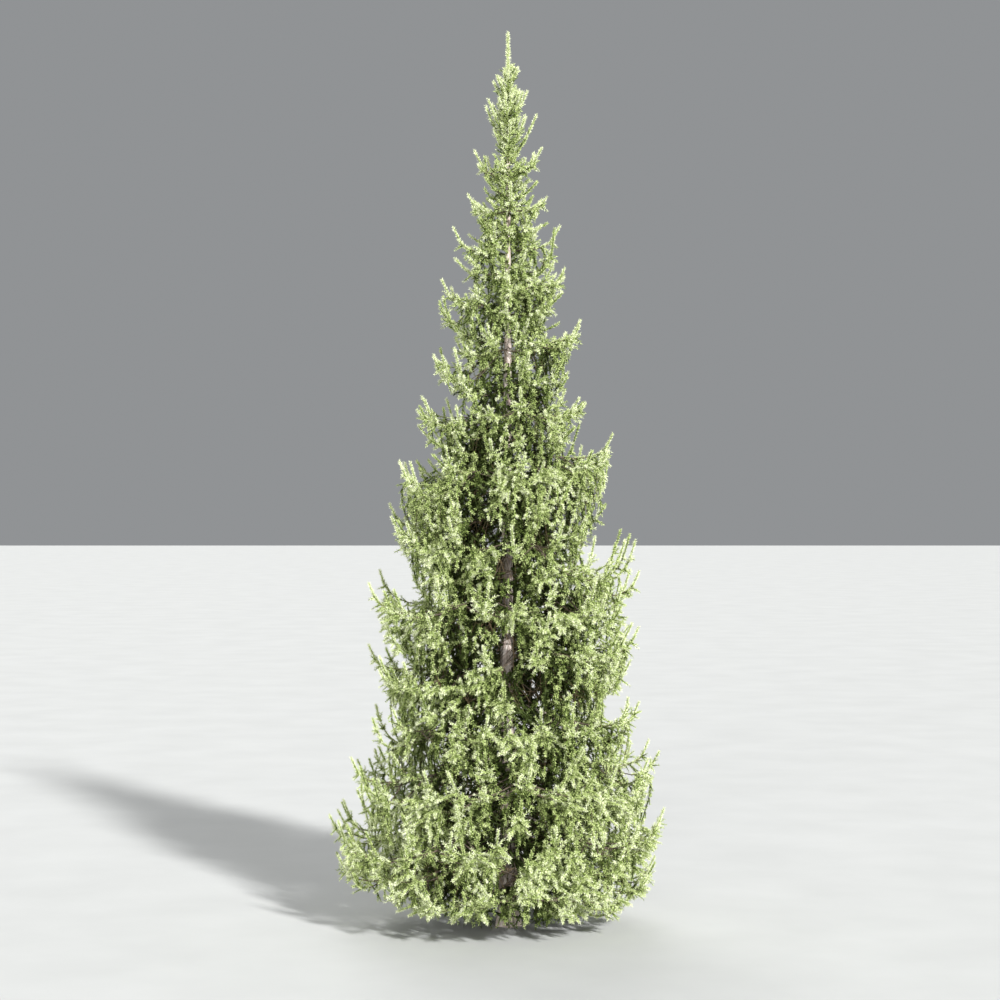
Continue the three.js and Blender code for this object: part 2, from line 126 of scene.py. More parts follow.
BRUSH_FROM = 0.84  # share of a limb where its last shoot starts
SHRINKS = (1, 0.88, 0.76, 0.64, 0.52, 0.4, 0.28)  # what doesn't fit is tried again at these sizes
LEADER_COUNT = 16  # the source's shoots round the leader, each with two more here
LEADER_LONGEST = 0.7
LEADER_SHORTEST = 0.2
LEADER_REACH_UP = 0.69  # share of the leader that they leave from (0.62 in the source)
LEADER_OUT = 0.55  # how far they go out and up, as shares of their length
LEADER_UP = 0.9
GOLDEN_TURN = radians(137.5)

# Side limbs in pairs: where they leave the stem, how far they spread and how far out they end. The
# first three pairs are the source's.
SIDE_LIMBS = [
    (0.3, 0.76, 0.97),
    (0.5, 0.37, 0.97),
    (0.22, 0.6, 0.62),
    (0.42, 0.57, 0.93),
    (0.26, 0.93, 0.84),
]
SHORT_PAIRS = (0, 1, 3)  # the pairs that short boughs have
LOW_SHIFT = 0.06  # how much further out they leave a bough with a bare foot, and the others
HIGH_SHIFT = -0.08
SIDE_STAGGER = 0.03  # how far each limb of a pair is from where the pair leaves
SPREAD_CHANCE = 0.1
OUT_CHANCE = 0.03
# The share of a limb, from its start, that has no branchlets.
SIDE_BARE = 0.22
BETWEEN_BARE = 0.16
STEM_BARE = 0.1
LOW_STEM_BARE = 0.02
# Slighter boughs that leave the trunk between the whorls: how far they spread, how far out they end,
# and how far their tips are below their whorl's surface, as a share of the way to the next one.
BETWEEN_BOUGHS = [
    (-0.1, 0.9, 0.45),
    (0.42, 0.94, 0.3),
    (-0.52, 0.92, 0.6),
    (0.84, 0.9, 0.55),
    (-0.9, 0.86, 0.35),
]
FIRST_BETWEEN = 30  # index of the first of them, after the side limbs'
LEAST_DEPTH = 0.2  # of the layer that one lies in
LOWEST_DEPTH = 0.5  # of the lowest whorl's layer
LIMB_SLACK = 0.08  # how far limbs may pass under their layer
FIT_SHARES = (0.35, 0.5, 0.65, 0.8, 1)  # where along a limb that is tried

# ---- Sizes of the finer growth ----

SPRAY_GAP = 0.25  # between the branchlets along a limb, on each side
UPPER_SPRAY_GAP = 0.19  # the same near the top
LEAST_SPRAY = 0.1  # shorter branchlets are left out
HANG_OVER = 0.5  # how far branchlets may hang into the whorl below
INSET = 0.07  # how far branchlets stay inside the reach of the bough tips
LOW_INSET = 0.2  # the same in the lowest whorls, where twigs like fingers stand out
LOW_LEVELS = 6  # how many whorls those are
HANG_TUCK = 0.3  # how far branchlets draw in for each metre below the bough tips
FULL_TUCK = 0.1  # the same on the left and right of some whorls, counted from 0
FULL_LEVELS = (2, 3, 4, 7)
FURTHEST = 0.975  # the most that a side limb may reach, by the crown's reach there
INNER = 0.42  # share of the crown's reach, round the trunk, where the foliage is darkest: older needles and painted shade
RIM_FROM = 0.78  # share of the crown's reach from which thin patches end
THIN_PATCHES = 1.7  # how close together patches of thin foliage are
THIN_BELOW = -0.3  # where the noise, from -1 to 1, makes one
INNER_TWIGS = 5  # twigs in place of one branchlet where the foliage is darkest
SHOOT_LENGTH = 0.13
LEAST_SHOOT = 0.07
SHOOT_RADIUS = 0.034  # from the middle of a shoot to its needles' tips
SHOOT_OVERLAP = 1.12  # length of shoots laid along a path, as a share of their gap
OLD_LENGTH = 0.2
OLD_RADIUS = 0.052
PLAIN_SHOOT = (SHOOT_LENGTH, SHOOT_RADIUS)
OLD_SHOOT = (OLD_LENGTH, OLD_RADIUS)
FAN_LEVELS = 8  # how many whorls, from the lowest, end in twigs spread like fingers
FANS = 6  # such twigs on each limb
FAN_FROM = 0.7  # share of the limb where they start
FAN_SHARES = (1, 0.8, 0.6, 0.4)  # the same as SHRINKS, for them
FAN_SLACK = 0.3
FAN_INSET = 0.08
FAN_SAG = 0.12  # share of their length
SIDE_GAP = 0.08  # between a branchlet's side shoots
SIDE_LENGTH = 0.1
UPPER_FROM = 0.12  # share of a limb where the shoots on its upper side start
UPPER_GAP = 0.17  # between them
NECK_SHOOTS = 70  # short shoots all over the lower half of the leader
NECK_LENGTH = 0.19
LEADER_SIDE_GAP = 0.075  # between the side shoots of the leader's shoots
TIP_NEEDLES_FROM = 0.4  # share of a limb that is needled from there on
TIP_BRUSH = 0.33  # the least length of the shoot that each limb ends in
LEAST_BRUSH_FROM = 0.45  # the lowest share of a limb where it may start
STARS_BEHIND = (0.3, 0.46)  # how far behind a limb's tip its stars of small shoots are
STAR_TURNS = (8, 172, 235, 305)  # degrees round the limb
TRUNK_TWIGS = 420  # short twigs on the trunk between its boughs
TRUNK_TWIGS_FROM = 0.55  # height of the lowest
YOUNG_HEIGHTS = (6.5, 10)  # where they turn from hanging to rising
TWIG_RADIUS = 0.0042
# The needles on a shoot, and their width as a share of the shoot's radius.
NEEDLES = {
    "pale": (24, 0.42),
    "light": (20, 0.42),
    "mid": (17, 0.44),
    "deep": (15, 0.46),
    "old": (10, 0.58),
}
# These three are shares of a shoot's radius: how far from its middle a needle starts, its core's
# radius, and how far the core goes on beyond it.
NEEDLE_FOOT = 0.14
CORE_SHARE = 0.42
CORE_POINT = 0.3
CORE_SIDES = 3
VARIANTS = 6  # kinds of shoot
SHOOT_TURN = 2.399  # radians that one shoot is turned from the next, by their keys
COLOURS = ("pale", "light", "mid", "deep", "old")  # from fresh growth to the oldest, the darker ones also painted shade deep in the crown
DARKEST = len(COLOURS) - 1
# A shoot's core takes a darker colour than its needles: painted shade between the needles.
CORE_SHADE_COLOURS = {"pale": "mid", "light": "deep", "mid": "old", "deep": "old", "old": "old"}

# Where the front of the crown is open, as seen from the camera: x, height, half width, half height,
# and how far in front of the trunk the foliage ends there. Small distances bare the trunk.
OPENINGS = [
    (0.0, 7.75, 0.13, 0.2, 0.1),
    (-0.44, 7.43, 0.12, 0.1, 0.3),
    (-0.49, 6.46, 0.13, 0.12, 0.4),
    (-0.38, 5.39, 0.15, 0.12, 0.1),
    (0.47, 5.19, 0.12, 0.2, 0.5),
    (-0.03, 4.8, 0.15, 0.22, 0.1),
    (-0.02, 4.34, 0.09, 0.08, 0.1),
    (0.82, 4.27, 0.13, 0.09, 0.3),
    (-0.26, 4.03, 0.15, 0.09, 0.1),
    (0.0, 3.65, 0.16, 0.3, 0.1),
    (0.31, 3.2, 0.16, 0.2, 0.15),
    (-0.9, 3.3, 0.13, 0.12, 0.6),
    (0.96, 3.05, 0.12, 0.14, 0.5),
    (-0.52, 3.04, 0.13, 0.12, 0.6),
    (0.5, 2.16, 0.13, 0.11, 0.2),
    (-1.35, 2.13, 0.12, 0.1, 0.3),
    (-1.08, 2.58, 0.1, 0.12, 0.7),
    (-0.51, 1.86, 0.15, 0.12, 0.8),
    (-1.05, 0.68, 0.14, 0.12, 0.8),
    (1.32, 0.97, 0.12, 0.1, 0.7),
    (0.0, 0.65, 0.14, 0.2, 0.1),
]
# The notches in the crown's outline, as seen from the camera: x, height, half width, half height.
NOTCHES = [
    (1.5, 4.97, 0.28, 0.14),
    (1.2, 5.02, 0.26, 0.2),
    (-1.46, 4.74, 0.15, 0.14),
    (-1.7, 2.8, 0.16, 0.26),
    (-0.71, 6.94, 0.2, 0.15),
    (-0.8, 8.33, 0.14, 0.18),
    (-0.66, 9.25, 0.12, 0.2),
    (0.52, 9.25, 0.17, 0.12),
    (0.88, 6.47, 0.17, 0.13),
    (-0.78, 7.65, 0.14, 0.1),
    (1.46, 2.95, 0.2, 0.14),
    (-1.22, 6.05, 0.1, 0.1),
]
NOTCH_DIP = 0.3  # how far a limb that would cross a notch sags under it
LIMB_DIP = 0.06  # how far the others sag, by their reach. The source's have neither.

CAMERA_PLACE = Vector((-0.108, -30.0, 5.73))
SENSOR_WIDTH = 36
CAMERA_LENS = SENSOR_WIDTH * 2.226
FURTHEST_SEEN = 900

UP = Vector((0, 0, 1))


# ---- Small helpers ----


def chance(*keys):
    """A repeatable number from 0 to 1 for some whole-number keys. Most say whose it is, and the last
    one which draw."""
    mixed = sum((key + 1) * step for key, step in zip(keys, CHANCE_STEPS))
    wave = sin(mixed) * CHANCE_SCALE
    return wave % 1


def either(*keys):
    """The same from -1 to 1."""
    return 2 * chance(*keys) - 1


def smooth(x, low, high):
    share = min(max((x - low) / (high - low), 0), 1)
    return share * share * (3 - 2 * share)


def lerp(a, b, share):
    return a + (b - a) * share


def crown_reach(height, azimuth):
    """How far the crown reaches at a height and azimuth."""
    last = len(CROWN_OUTLINE) - 1
    above = next((i for i in range(1, last) if CROWN_OUTLINE[i][0] >= height), last)
    z1, left1, right1 = CROWN_OUTLINE[above]
    z0, left0, right0 = CROWN_OUTLINE[above - 1]
    share = (height - z0) / (z1 - z0)
    return round_trunk(lerp(left0, left1, share), lerp(right0, right1, share), azimuth)


def round_trunk(left, right, azimuth):
    """A value that is left at azimuth 180 degrees, right at 0, and their mean between."""
    return (left + right) / 2 + (right - left) / 2 * cos(azimuth)


def direction_at(path, share):
    """The direction that a path runs in."""
    step = 0.004
    return (path(min(share + step, 1)) - path(max(share - step, 0))).normalized()


def left_of(run):
    """The level direction to the left of a run."""
    return Vector((-run.y, run.x, 0))


def level_run(path, share):
    """The level direction that a path runs in."""
    ahead = direction_at(path, share)
    return Vector((ahead.x, ahead.y, 0)).normalized()


def evenly(count, most=1):
    """Shares from 0 to the most, in even steps."""
    return [most * i / count for i in range(count + 1)]


def path_length(path):
    points = [path(v) for v in evenly(8)]
    return sum((b - a).length for a, b in zip(points, points[1:]))


# ---- Trunk, boughs and limbs, as in the source ----


def trunk_centre(height):
    share = height / TREE_HEIGHT
    return Vector((
        -TRUNK_SWAY * sin(pi * share) * cos(SWAY_SIDE_BEND * share),
        TRUNK_SWAY * sin(SWAY_FRONT_BEND * share) * share,
        height,
    ))


def flare_at(height):
    return FLARE_DEPTH * exp(-height / FLARE_HEIGHT)


def trunk_radius(height):
    return TRUNK_TIP_RADIUS + (TREE_HEIGHT - height) * TRUNK_TAPER


class Line:
    """A bough's facts, from the height of its tip and its azimuth."""

    def __init__(self, tip, azimuth, reach, sweep):
        self.tip = tip
        self.azimuth = azimuth
        self.reach = reach
        self.sweep = sweep
        self.down = (TREE_HEIGHT - tip) / TREE_HEIGHT
        self.lift = TOP_LIFT * exp(-LIFT_FADE * self.down) - DROOP * self.down
        self.foot = tip - reach * (self.lift + UPTURN)

    def rise(self, u, turned):
        """The rise at share u, as a share of the reach. turned is how far the tip turns up there."""
        return self.lift * u - SAG * sin(pi * u) + UPTURN * turned**UPTURN_POWER

    def point(self, u):
        """The point at share u, from the middle of the trunk, 0, to the upturned tip, 1."""
        out = self.reach * sin(FOLD * u) / sin(FOLD)
        angle = self.azimuth + self.sweep * u * u
        centre = trunk_centre(self.foot)
        return Vector((
            centre.x + out * cos(angle),
            centre.y + out * sin(angle),
            self.foot + self.rise(u, u) * self.reach,
        ))

    def radius(self, u):
        return max(SLIMNESS * self.reach, LEAST_BOUGH_RADIUS) * (1 - BOUGH_TAPER * u)


def whorl_tip(whorl, azimuth):
    """The height of a whorl's tips at an azimuth."""
    left, right, _, _ = whorl
    plain = round_trunk(left, right, azimuth)
    wave = sin(2 * azimuth) ** 2 * sin(3 * azimuth)
    return plain + WAVINESS * crown_reach(plain, azimuth) * wave


def all_lines():
    """Every bough's line, whorl by whorl."""
    lines = []
    for w, whorl in enumerate(WHORLS):
        _, _, count, first = whorl
        for b in range(count):
            azimuth = radians(first + 360 * b / count + TURN_CHANCE * either(w, b, 1))
            full = crown_reach(whorl_tip(whorl, azimuth), azimuth)
            tip = whorl_tip(whorl, azimuth) + UNEVENNESS * full * either(w, b, 2)
            reach = full * (1 - REACH_CHANCE * chance(w, b, 3))
            line = Line(tip, azimuth, reach, SWEEP_CHANCE * either(w, b, 4))
            line.key = len(lines)
            line.name = f"{w + 1}{'abcd'[b]}"
            line.whorl = whorl
            line.level = w
            line.is_bare = w < BARE_WHORLS
            line.half_turn = pi / count
            lines.append(line)
    return lines


class Limb:
    """A stem or a side limb, with a path from its start, 0, to its tip, 1."""

    def __init__(self, line, index, path, radius_at, bare, dip=0):
        self.line = line
        self.index = index
        self.path = path
        self.radius_at = radius_at
        self.bare = bare
        self.dip = dip
        self.length = path_length(path)
        self.brush = max(min(BRUSH_FROM, 1 - TIP_BRUSH / self.length), LEAST_BRUSH_FROM)


def stem_of(line):
    start = BARE_SHARE if line.is_bare else 0

    def path(v):
        return line.point(start + (1 - start) * v)

    def radius_at(v):
        return line.radius(start + (1 - start) * v)

    return Limb(line, 0, path, radius_at, LOW_STEM_BARE if line.is_bare else STEM_BARE)


def side_limb(line, pair, index, hand):
    """A side limb to its stem's left, for hand 1, or right, for -1."""
    leaves_at, spread, out = pair
    start = leaves_at + (LOW_SHIFT if line.is_bare else HIGH_SHIFT) + SIDE_STAGGER * hand
    turn = hand * line.half_turn * spread * (1 + SPREAD_CHANCE * either(line.key, index, 5))
    azimuth = line.azimuth + turn
    full = crown_reach(whorl_tip(line.whorl, azimuth), azimuth)
    reach = full * min(out + OUT_CHANCE * either(line.key, index, 7), FURTHEST)
    under = UNEVENNESS * full * (0.8 + 1.6 * chance(line.key, index, 6))
    tip = whorl_surface(line.whorl, azimuth, reach) - under
    own = Line(tip, azimuth, reach, 0)
    gap = line.point(start) - own.point(start)
    dip = dip_of(own, line.level)

    def path(v):
        spot = own.point(start + (1 - start) * v)
        return spot + gap * (1 - v) ** 2 - UP * dip * sin(pi * v)

    def radius_at(v):
        return line.radius(start) * (0.75 - 0.45 * v)

    return Limb(line, index, path, radius_at, SIDE_BARE, dip)


def between_bough(line, number, spread, out, drop):
    """A slighter bough of its own from the trunk, under its whorl's surface."""
    azimuth = line.azimuth + line.half_turn * (spread + 0.12 * either(line.key, number, 41))
    full = crown_reach(whorl_tip(line.whorl, azimuth), azimuth)
    reach = full * min(out + 0.05 * either(line.key, number, 42), FURTHEST)
    top = whorl_surface(line.whorl, azimuth, reach)
    depth = LOWEST_DEPTH
    if line.level:
        depth = top - whorl_surface(WHORLS[line.level - 1], azimuth, reach)
    fall = max(depth, LEAST_DEPTH) * drop * (0.7 + 0.6 * chance(line.key, number, 43))
    drawn_in = fall * (FULL_TUCK if line.level in FULL_LEVELS else TUCK)
    own = Line(top - fall, azimuth, reach - drawn_in, 0)
    dip = dip_of(own, line.level)

    def path(v):
        return own.point(0.05 + 0.95 * v) - UP * dip * sin(pi * v)

    def radius_at(v):
        return 0.6 * own.radius(v)

    return Limb(line, FIRST_BETWEEN + number, path, radius_at, BETWEEN_BARE, dip)


def limbs_of(line):
    """A mass's stem, and the side limbs and slighter boughs that keep to its space."""
    others = []
    for i in range(len(SIDE_LIMBS)) if line.reach > SHORT_BOUGH else SHORT_PAIRS:
        others.append(side_limb(line, SIDE_LIMBS[i], 2 * i + 1, -1))
        others.append(side_limb(line, SIDE_LIMBS[i], 2 * i + 2, 1))
    others += [between_bough(line, number, *facts) for number, facts in enumerate(BETWEEN_BOUGHS)]
    kept = [limb for limb in others if keeps_to_space(limb) and not ends_in_gap(limb)]
    return [stem_of(line), *kept]


def dip_of(line, level):
    """How far a limb sags before its tip turns up. The lowest would touch the ground."""
    if level == 0:
        return 0
    crosses_notch = in_notch(line.point(0.8)) or in_notch(line.point(0.92))
    return NOTCH_DIP if crosses_notch else LIMB_DIP * line.reach


def keeps_to_space(limb):
    return all(fits(limb.path(v), limb.line, LIMB_SLACK + limb.dip) for v in FIT_SHARES)


def ends_in_gap(limb):
    tip = limb.path(1)
    return in_opening(tip) or in_notch(tip)


# ---- Whose space a point is in ----


def whorl_surface(whorl, azimuth, out):
    """The height of the surface that a whorl's boughs lie in, at an azimuth and a distance out."""
    tip = whorl_tip(whorl, azimuth)
    reach = crown_reach(tip, azimuth)
    share = min(out / reach, 1)
    u = asin(share * sin(FOLD)) / FOLD
    line = Line(tip, azimuth, reach, 0)
    return line.foot + (line.rise(u, min(u / RIM, 1)) + SURFACE_RISE) * reach


def in_own_space(p, line, slack, inset=0, tuck=TUCK):
    """Whether a point is in its whorl's layer, with some slack under it, and inside the bough tips.
    Unlike in the source, it may be in a neighbour's sector."""
    azimuth = atan2(p.y, p.x)
    out = hypot(p.x, p.y)
    if line.level:
        if p.z < whorl_surface(WHORLS[line.level - 1], azimuth, out) + 2 * SPACE_MARGIN - slack:
            return False
    if p.z > whorl_surface(line.whorl, azimuth, out) + SPACE_MARGIN:
        return False
    tip = whorl_tip(line.whorl, azimuth)
    return out < crown_reach(tip, azimuth) + SPACE_MARGIN - inset - tuck * max(tip - p.z, 0)


def clear_of_trunk(p):
    """Whether a point is off the trunk. The source keeps it off the bare boughs too."""
    height = min(max(p.z, 0), TRUNK_TOP)
    centre = trunk_centre(height)
    out = hypot(p.x - centre.x, p.y - centre.y)
    return out > trunk_radius(height) + flare_at(height) + LIMB_MARGIN


def seen_at(p):
    """Where in the plane of the trunk the camera sees a point: x and height."""
    scale = CAMERA_PLACE.y / (CAMERA_PLACE.y - p.y)
    x = CAMERA_PLACE.x + (p.x - CAMERA_PLACE.x) * scale
    return x, CAMERA_PLACE.z + (p.z - CAMERA_PLACE.z) * scale


def in_oval(seen, middle, height, half_x, half_z):
    return ((seen[0] - middle) / half_x) ** 2 + ((seen[1] - height) / half_z) ** 2 < 1


def in_opening(p):
    """Whether a point hides what an opening in the front of the crown shows."""
    seen = seen_at(p)
    return any(p.y < -distance and in_oval(seen, *oval) for *oval, distance in OPENINGS)


def in_notch(p):
    seen = seen_at(p)
    return any(in_oval(seen, *oval) for oval in NOTCHES)


def is_thin(p):
    """Whether a point is in one of the patches in the back of the crown where little grows."""
    return p.y > 0 and noise.noise(p * THIN_PATCHES) < THIN_BELOW


def in_outline(p, line):
    """Whether a shoot that ends at a point keeps inside the crown's reach."""
    azimuth = atan2(p.y, p.x)
    return hypot(p.x, p.y) < crown_reach(whorl_tip(line.whorl, azimuth), azimuth) - SHOOT_RADIUS


def fits(p, line, slack, inset=0, tuck=TUCK):
    height, rise, radius = CROWN_FOOT
    foot = height + rise * (hypot(p.x, p.y) / radius) ** 3
    return p.z > foot and clear_of_trunk(p) and in_own_space(p, line, slack, inset, tuck)


# ---- Branchlets ----


def spray_profile(v):
    """How long branchlets are at share v of their limb."""
    return 0.6 + 0.4 * smooth(v, 0.1, 0.45) - 0.3 * smooth(v, 0.65, 1)


def weep_at(line, height):
    """How much foliage hangs, from 0 to 1."""
    return smooth(line.down, 0.03, 0.22) * (0.72 + 0.28 * smooth(height, 0.3, 1.5))


def spray_way(line, root, run, hand, keys):
    """The way that a branchlet hangs from a limb, to its left for hand 1 and right for -1."""
    forward = run * (0.14 + 0.25 * either(*keys, 12))
    sideways = left_of(run) * hand * (0.22 + 0.34 * chance(*keys, 13))
    return (forward + sideways + UP * (0.6 - 1.6 * weep_at(line, root.z))).normalized()


def fitting_length(root, way, length, line, slack):
    """The branchlet's length, drawn in until it fits its mass's space, or nothing if it never does."""
    inset = LOW_INSET if line.level < LOW_LEVELS else INSET
    tuck = HANG_TUCK
    if line.level in FULL_LEVELS:
        tuck = lerp(HANG_TUCK, FULL_TUCK, abs(cos(atan2(root.y, root.x))))
    for shrink in SHRINKS:
        spots = [root + way * (length * shrink * share) for share in (0.3, 0.55, 0.8, 1)]
        if all(fits(p, line, slack, inset, tuck) and not in_notch(p) for p in spots):
            return length * shrink
    return None


Shoot = namedtuple("Shoot", "numbers colour key")  # its numbers: root, way, length and radius


class Growth:
    """The shoots and twigs of the crown, gathered as plain lists."""

    def __init__(self):
        self.shoots = []
        self.twigs = []

    def add_shoot(self, root, way, length, colour, key, radius=SHOOT_RADIUS):
        way = way.normalized()
        if not in_opening(root + way * (length / 2)):
            self.shoots.append(Shoot((*root, *way, length, radius), colour, key))

    def add_twig(self, points, radius):
        self.twigs.append((points, radius))


def needled_path(growth, path, start, end, colour_at, key, layers=1, size=PLAIN_SHOOT):
    """Shoots of about one length and radius end to end along a path, in one or more layers."""
    length, radius = size
    whole = path_length(lambda v: path(lerp(start, end, v)))
    count = max(1, round(whole / length))
    for i in range(count * layers):
        a = start + (end - start) * i / (count * layers)
        b = min(a + (end - start) * SHOOT_OVERLAP / count, end)
        way = path(b) - path(a)
        growth.add_shoot(path(a), way, max(way.length, LEAST_SHOOT), colour_at(a), key + i, radius)


def branchlet(growth, root, way, start_way, length, tone, key):
    """A twig that arches from its limb into its own way, with shoots along it and to its sides."""
    knee = root + start_way * (length * 0.34)
    tip = root + way * length

    def path(t):
        return root * (1 - t) ** 2 + knee * (2 * t * (1 - t)) + tip * t * t

    if colour_of(tone) == "old":
        growth.add_twig([root, path(0.9)], TWIG_RADIUS)
        needled_path(growth, path, 0.05, 1, lambda t: "old", key, size=OLD_SHOOT)
        return
    growth.add_twig([path(t) for t in (0, 0.4, 0.92)], TWIG_RADIUS * (0.6 + 0.6 * length))

    def colour_at(t):
        return colour_of(tone + 0.7 - 1.5 * t * t)

    needled_path(growth, path, 0.08, 1, colour_at, key)
    side_shoots(growth, path, length, tone, key)


def side_shoots(growth, path, length, tone, key):
    """Shoots to both sides of a branchlet, about in one plane."""
    root = path(0)
    outward = Vector((root.x, root.y, 0.001)).normalized()
    turn = 1.1 * either(key, 3)
    face = outward * cos(turn) + left_of(outward) * sin(turn)
    count = int(length * 0.9 / SIDE_GAP)
    for i in range(count):
        t = 0.1 + 0.82 * (i + 0.5 + 0.3 * either(key, i, 5)) / count
        ahead = direction_at(path, t)
        across = ahead.cross(face)
        if across.length < 0.2:
            across = ahead.cross(outward + UP * 0.4)
        hand = 1 if i % 2 else -1
        side = across.normalized() * hand * (0.55 + 0.3 * chance(key, i, 7))
        bend = face * (0.15 + 0.5 * either(key, i, 6))
        size = SIDE_LENGTH * (1.15 - 0.5 * t) * (0.75 + 0.5 * chance(key, i, 8))
        colour = colour_of(tone + 0.2 - 0.9 * t + 0.8 * either(key, i, 24))
        way = ahead * 0.8 + side + bend
        growth.add_shoot(path(t), way, size, colour, key + 31 * i, SHOOT_RADIUS * 0.95)


def colour_of(tone):
    """The colour for a tone, from 0 for fresh growth to 4 for the oldest."""
    return COLOURS[min(max(round(tone), 0), DARKEST)]


def outness(line, p):
    """How far out in the crown a point is, from 0 at the trunk to 1."""
    return min(hypot(p.x, p.y) / crown_reach(line.tip, atan2(p.y, p.x)), 1)


def tone_at(line, p, keys):
    """The tone of what grows at a point: darker inwards and lower down, for older needles and painted
    shade.
    """
    out = outness(line, p)
    shade = smooth(line.down, 0.09, 0.44)
    if out < shade * INNER * (0.8 + 0.4 * chance(*keys, 22)):
        return DARKEST
    return min(0.75 + lerp(1.8, 4.4, shade) * (1 - out) ** 1.4 + 0.8 * either(*keys, 21), 3.4)


def grow_limb(growth, limb):
    """A limb's branchlets, the shoots on its upper side and its upturned tip."""
    line = limb.line
    key = 101 * line.key + 13 * limb.index
    gap = lerp(UPPER_SPRAY_GAP, SPRAY_GAP, smooth(line.down, 0.1, 0.4))
    count = 2 * max(2, round(limb.length * (limb.brush - limb.bare) / gap))
    for i in range(count):
        keys = (line.key, limb.index, i + 1)
        v = limb.bare + (limb.brush - limb.bare) * (i + 0.5 + 0.4 * either(*keys, 19)) / count
        root = limb.path(v)
        if not (is_thin(root) and INNER < outness(line, root) < RIM_FROM):
            branchlets_at(growth, limb, v, (1, -1, 0)[i % 3], keys, key + 7 * i)
    if line.level < FAN_LEVELS:
        fan_twigs(growth, limb, key)
    upper_shoots(growth, limb, key)
    tip_shoots(growth, limb, key)


def branchlets_at(growth, limb, v, hand, keys, key):
    """The branchlet at share v of a limb, or several twigs where the foliage is darkest (older
    needles, painted shade).
    """
    line = limb.line
    root = limb.path(v)
    run = level_run(limb.path, v)
    tone = tone_at(line, root, keys)
    size = lerp(SPRAY_LEAST, SPRAY_MOST, smooth(line.down, 0.05, 0.36))
    fullness = 0.7 + 0.5 * chance(line.key, limb.index, 23)
    wanted = size * fullness * spray_profile(v) * (0.6 + 0.5 * chance(*keys))
    slack = HANG_OVER * chance(*keys, 14)
    for turn in range(INNER_TWIGS if colour_of(tone) == "old" else 1):
        way = inner_way(run, keys, turn) if turn else spray_way(line, root, run, hand, keys)
        length = fitting_length(root, way, wanted, line, slack)
        if length is None or length < LEAST_SPRAY:
            continue
        start_way = (run * 0.55 + left_of(run) * hand * 0.6 + UP * 0.2 + way * 0.3).normalized()
        branchlet(growth, root, way, start_way, length, tone, key + turn)


def inner_way(run, keys, turn):
    """The way of a further twig of the darkest needles."""
    side = left_of(run) * either(*keys, 60 + turn)
    return (run * 0.5 * either(*keys, 62 + turn) + side - UP * chance(*keys, 64 + turn)).normalized()


def fan_twigs(growth, limb, key):
    """Straight twigs that spread from the limb's end, outwards and a little down."""
    for i in range(FANS):
        v = FAN_FROM + 0.25 * (i + chance(key, i, 51)) / FANS
        root = limb.path(v)
        run = level_run(limb.path, v)
        side = left_of(run) * (1 if i % 2 else -1)
        drop = UP * -(0.15 + 0.75 * chance(key, i, 52))
        way = (run + side * (0.2 + 1.1 * chance(key, i, 53)) + drop).normalized()
        wanted = 0.26 + 0.2 * chance(key, i, 54)
        lengths = (wanted * share for share in FAN_SHARES)
        length = next((length for length in lengths if fan_fits(root + way * length, limb.line)), 0)
        if length:
            fan_twig(growth, root, way, length, key, i)


def fan_fits(p, line):
    return fits(p, line, FAN_SLACK, FAN_INSET) and not in_notch(p)


def fan_twig(growth, root, way, length, key, i):
    """One of them, with two sprigs."""
    def path(t):
        return root + way * (length * t) - UP * (FAN_SAG * length * t * t)

    def colour_at(t):
        return "pale" if t > 0.4 else "light"

    growth.add_twig([path(t) for t in (0, 0.5, 0.92)], TWIG_RADIUS)
    needled_path(growth, path, 0.05, 1, colour_at, key + 3 * i, 2)
    for hand in (-1, 1):
        across = way.cross(UP).normalized() * hand
        sprig = way * 0.65 + across * 0.6 + UP * (0.25 * either(key, i, 55 + hand))
        foot = path(0.3 + 0.1 * hand)
        growth.add_shoot(foot, sprig, SIDE_LENGTH * 1.1, "light", key + 5 * i + hand)


def upper_shoots(growth, limb, key):
    """Short shoots that lean forward from the limb's upper side."""
    count = round(limb.length * (limb.brush - UPPER_FROM) / UPPER_GAP)
    for i in range(count):
        v = UPPER_FROM + (limb.brush - UPPER_FROM) * (i + 0.5) / count
        root = limb.path(v)
        if in_notch(root):
            continue
        run = direction_at(limb.path, v)
        side = left_of(run) * (1 if i % 2 else -1)
        rise = UP * (0.05 + 0.6 * chance(key, i, 10))
        way = run * 0.6 + side * (0.35 + 0.5 * chance(key, i, 9)) + rise
        tone = tone_at(limb.line, root, (limb.line.key, limb.index, i + 60))
        share = 0.7 + 0.5 * chance(key, i, 11)
        if tone == DARKEST:
            growth.add_shoot(root, way, OLD_LENGTH * share, "old", key + 17 * i, OLD_RADIUS)
        else:
            growth.add_shoot(root, way, SHOOT_LENGTH * share, colour_of(tone - 0.6), key + 17 * i)


def tip_end(limb, start, key):
    """Where a limb's last shoot ends: a stem's where the source has it, another's lower or higher."""
    end = limb.path(1)
    if limb.index:
        run = direction_at(limb.path, limb.brush)
        turned = run.lerp((end - start).normalized(), 0.2 + 0.8 * chance(key, 71)).normalized()
        wanted = (end - start).length * (0.75 + 0.4 * chance(key, 72))
        ends = [start + turned * (wanted * share) for share in (1, 0.8, 0.6)]
        end = next((spot for spot in ends if in_outline(spot, limb.line)), end)
    return end


